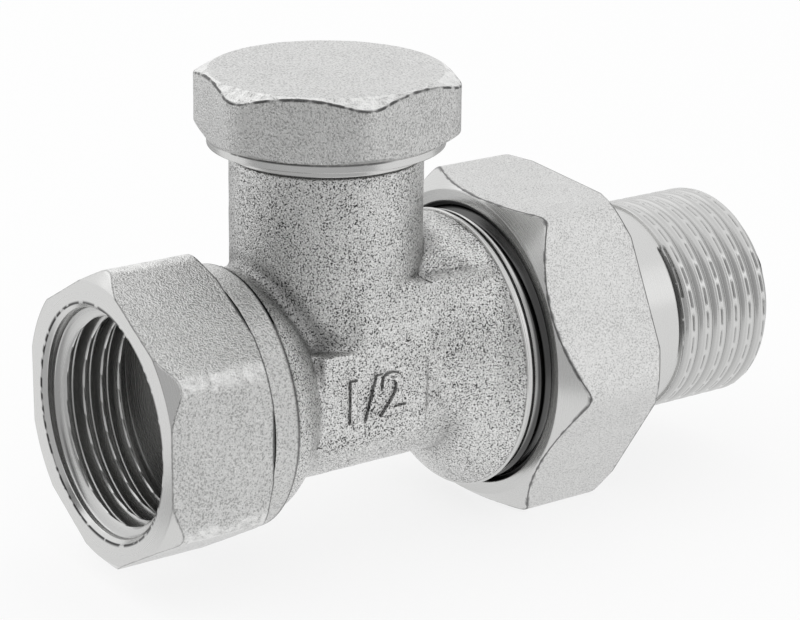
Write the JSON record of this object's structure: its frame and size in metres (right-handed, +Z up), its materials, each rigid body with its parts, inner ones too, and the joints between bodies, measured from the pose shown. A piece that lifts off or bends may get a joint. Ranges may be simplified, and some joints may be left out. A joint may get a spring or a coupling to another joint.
{
  "type": "manual radiator valve",
  "caption": "Straight lockshield radiator valve: plated brass body with female inlet, hexagon protective cap over the spindle, and a union nut with male tail.",
  "frame": {"origin": "centre of the inlet's front face, on the flow axis", "axes": "+X along the flow to the tail's end, +Z up along the neck to the cap"},
  "size_m": [0.0702, 0.0342, 0.0445],
  "materials": {
    "forged_plated_brass": "nickel plated over a blasted forging",
    "turned_plated_brass": "nickel plated over turned metal",
    "bare_brass": "turned",
    "spring_steel": "bright",
    "seal_rubber": "matt",
    "gasket_fibre": "matt"
  },
  "bodies": {
    "valve_body": {"valve_body": "forged_plated_brass", "bonnet": "bare_brass", "bonnet_o_ring": "seal_rubber", "retaining_ring": "spring_steel"},
    "plug": {"throttle_plug": "bare_brass", "plug_seal": "seal_rubber", "plug_washer": "spring_steel", "plug_screw": "spring_steel"},
    "spindle": {"spindle": "bare_brass", "spindle_o_ring_lower": "seal_rubber", "spindle_o_ring_upper": "seal_rubber"},
    "gasket": {"cap_gasket": "gasket_fibre"},
    "cap": {"hex_cap": "forged_plated_brass"},
    "tail": {"tail_piece": "turned_plated_brass", "tail_o_ring": "seal_rubber"},
    "nut": {"union_nut": "forged_plated_brass"}
  },
  "joints": [
    {"name": "plug_lift", "type": "slide", "parent": "valve_body", "child": "plug", "axis": [0, 0, 1], "range_m": [0, 0.004]},
    {"name": "spindle_turn", "type": "hinge", "parent": "plug", "child": "spindle", "pos_m": [0.0239, 0, 0.012], "axis": [0, 0, 1], "range_deg": [0, 1440]},
    {"name": "cap_lift", "type": "slide", "parent": "valve_body", "child": "gasket", "axis": [0, 0, 1], "range_m": [0, 0.005]},
    {"name": "cap_turn", "type": "hinge", "parent": "gasket", "child": "cap", "pos_m": [0.0239, 0, 0.025], "axis": [0, 0, 1], "range_deg": [0, 1800]},
    {"name": "tail_pull", "type": "slide", "parent": "valve_body", "child": "tail", "axis": [1, 0, 0], "range_m": [0, 0.00726]},
    {"name": "nut_turn", "type": "hinge", "parent": "tail", "child": "nut", "pos_m": [0.045, 0, 0], "axis": [1, 0, 0], "range_deg": [0, 1440]}
  ],
  "couplings": [
    {"joint": "spindle_turn", "follows": "plug_lift", "rad_per_m": 6283.2},
    {"joint": "cap_lift", "follows": "cap_turn", "m_per_rad": 0.00015915},
    {"joint": "tail_pull", "follows": "nut_turn", "m_per_rad": 0.0002887}
  ]
}
